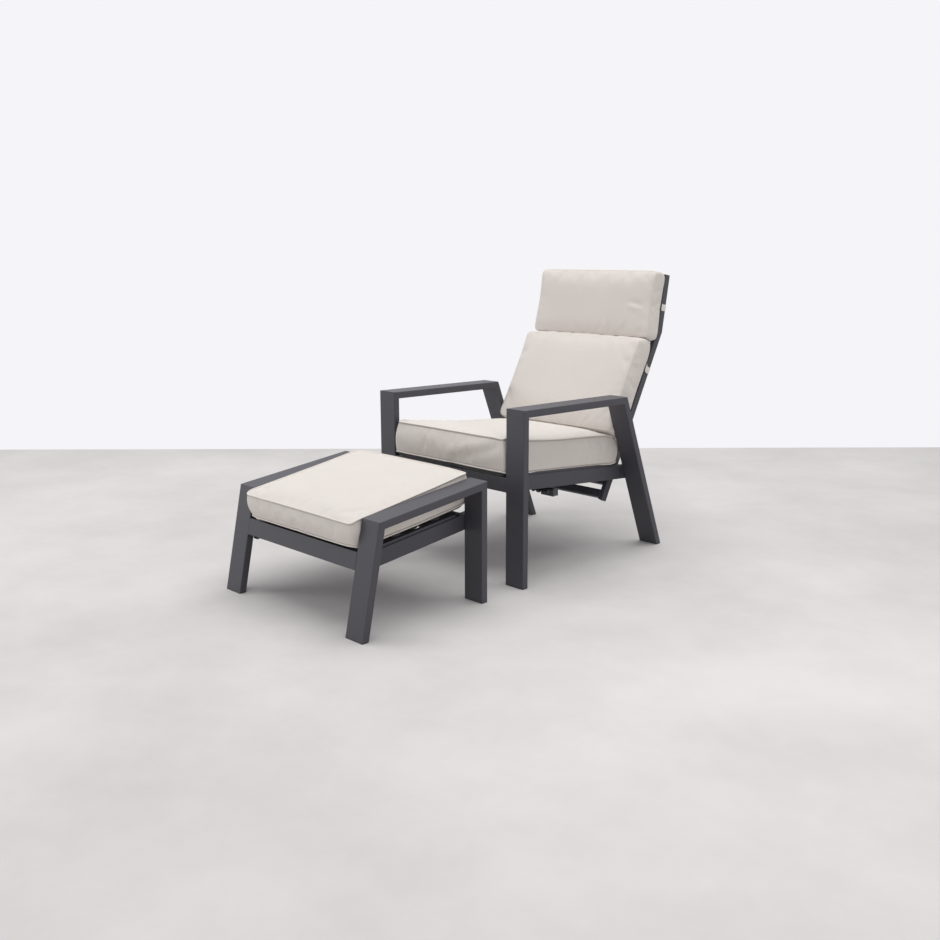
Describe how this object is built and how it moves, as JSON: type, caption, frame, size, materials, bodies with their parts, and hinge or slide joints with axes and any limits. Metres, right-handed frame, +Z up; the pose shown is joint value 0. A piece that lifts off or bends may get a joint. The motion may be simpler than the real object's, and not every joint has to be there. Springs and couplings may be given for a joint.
{
  "type": "lounge chair with footstool",
  "caption": "Powder-coated aluminium garden lounge chair with a gas-spring reclining back, padded cushions and a matching cushioned footstool.",
  "frame": {"origin": "on the floor under the middle of the whole set's box", "axes": "+X to the sitter's left, -Y the way the chair faces with the footstool in front, +Z up"},
  "size_m": [0.72, 1.6368, 1.0352],
  "materials": {
    "anthracite_powder_coat": "matte",
    "cushion_fabric": "matte",
    "black_plastic": "matte",
    "chromed_rod": "polished",
    "black_steel": "satin",
    "zinc_steel": "satin"
  },
  "bodies": {
    "chair": {"front_seat_rail": "anthracite_powder_coat", "front_spring_bracket": "anthracite_powder_coat", "front_spring_pin": "zinc_steel", "left_armrest": "anthracite_powder_coat", "left_front_foot": "black_plastic", "left_front_leg": "anthracite_powder_coat", "left_pivot_bolt": "black_steel", "left_rear_foot": "black_plastic", "left_rear_leg": "anthracite_powder_coat", "left_seat_rail": "anthracite_powder_coat", "lever_bearing": "anthracite_powder_coat", "rear_seat_rail": "anthracite_powder_coat", "right_armrest": "anthracite_powder_coat", "right_front_foot": "black_plastic", "right_front_leg": "anthracite_powder_coat", "right_pivot_bolt": "black_steel", "right_rear_foot": "black_plastic", "right_rear_leg": "anthracite_powder_coat", "right_seat_rail": "anthracite_powder_coat", "seat_cushion": "cushion_fabric", "seat_slats": "anthracite_powder_coat", "spring_rail": "anthracite_powder_coat"},
    "back": {"left_back_stile": "anthracite_powder_coat", "right_back_stile": "anthracite_powder_coat", "left_top_cap": "black_plastic", "right_top_cap": "black_plastic", "left_bottom_cap": "black_plastic", "right_bottom_cap": "black_plastic", "lower_back_bar": "anthracite_powder_coat", "middle_back_bar": "anthracite_powder_coat", "top_back_bar": "anthracite_powder_coat", "back_slats": "anthracite_powder_coat", "left_pivot_bush": "black_plastic", "right_pivot_bush": "black_plastic", "rear_spring_lugs": "anthracite_powder_coat", "rear_spring_pin": "zinc_steel", "back_cushion": "cushion_fabric", "head_cushion": "cushion_fabric"},
    "spring_rod": {"spring_release_head": "black_steel", "spring_rod": "chromed_rod"},
    "spring_cylinder": {"spring_cylinder": "black_steel"},
    "release_lever": {"release_shaft": "black_steel", "release_paddle": "anthracite_powder_coat"},
    "footstool": {"stool_cushion": "cushion_fabric", "stool_front_rail": "anthracite_powder_coat", "stool_left_arm": "anthracite_powder_coat", "stool_left_inner_foot": "black_plastic", "stool_left_inner_leg": "anthracite_powder_coat", "stool_left_outer_foot": "black_plastic", "stool_left_outer_leg": "anthracite_powder_coat", "stool_left_rail": "anthracite_powder_coat", "stool_rear_rail": "anthracite_powder_coat", "stool_right_arm": "anthracite_powder_coat", "stool_right_inner_foot": "black_plastic", "stool_right_inner_leg": "anthracite_powder_coat", "stool_right_outer_foot": "black_plastic", "stool_right_outer_leg": "anthracite_powder_coat", "stool_right_rail": "anthracite_powder_coat", "stool_slats": "anthracite_powder_coat"}
  },
  "joints": [
    {"name": "back_recline", "type": "hinge", "parent": "chair", "child": "back", "pos_m": [0, 0.49535, 0.2955], "axis": [-1, 0, 0], "range_deg": [0, 25]},
    {"name": "spring_tilt", "type": "hinge", "parent": "chair", "child": "spring_rod", "pos_m": [-0.15, 0.12081, 0.25609], "axis": [1, 0, 0], "range_deg": [0, 6.2]},
    {"name": "spring_stroke", "type": "slide", "parent": "spring_rod", "child": "spring_cylinder", "axis": [0, -0.9713, 0.2378], "range_m": [0, 0.0505]},
    {"name": "release_press", "type": "hinge", "parent": "chair", "child": "release_lever", "pos_m": [0, 0.09601, 0.2842], "axis": [1, 0, 0], "range_deg": [0, 8], "stiffness_Nm_per_rad": 1.5},
    {"name": "footstool_slide", "type": "slide", "parent": "chair", "child": "footstool", "axis": [0, -1, 0], "range_m": [-0.12, 0.4]}
  ],
  "couplings": [
    {"joint": "spring_tilt", "follows": "back_recline", "ratio": 0.23844},
    {"joint": "spring_stroke", "follows": "back_recline", "m_per_rad": 0.1135}
  ]
}
